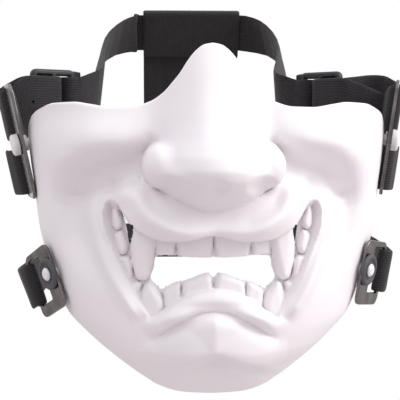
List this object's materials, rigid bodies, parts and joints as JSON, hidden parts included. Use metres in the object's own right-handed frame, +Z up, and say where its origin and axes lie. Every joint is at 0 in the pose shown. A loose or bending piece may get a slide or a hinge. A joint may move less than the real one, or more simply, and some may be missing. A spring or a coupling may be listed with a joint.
{
  "type": "samurai face guard",
  "caption": "Half face guard moulded as a snarling samurai mask with a big nose and bared teeth, worn with elastic straps over the crown and round the neck.",
  "frame": {"origin": "centre of the plane of the shell's rear side rims, level with the upper anchors", "axes": "+X to the viewer's right, +Y to the back of the head, +Z up; the nose points to -Y"},
  "size_m": [0.1975, 0.2774, 0.1895],
  "materials": {
    "shell_plastic": "matte white moulded plastic",
    "elastic_webbing": "woven black elastic",
    "slider_plastic": "satin black moulded plastic",
    "anchor_steel": "polished steel",
    "stud_plastic": "matte white plastic",
    "washer_rubber": "dark grey washer"
  },
  "bodies": {
    "root": {"mask_shell": "shell_plastic", "upper_strap": "elastic_webbing", "lower_strap": "elastic_webbing", "back_band": "elastic_webbing", "slider_left": "slider_plastic", "slider_right": "slider_plastic", "anchor_upper_left": "anchor_steel", "anchor_upper_right": "anchor_steel", "anchor_lower_left": "anchor_steel", "anchor_lower_right": "anchor_steel", "stud_upper_left": "stud_plastic", "stud_upper_right": "stud_plastic", "stud_lower_left": "stud_plastic", "stud_lower_right": "stud_plastic", "washer_lower_left": "washer_rubber", "washer_lower_right": "washer_rubber", "tab_upper_left": "elastic_webbing", "tab_upper_right": "elastic_webbing"}
  },
  "joints": []
}
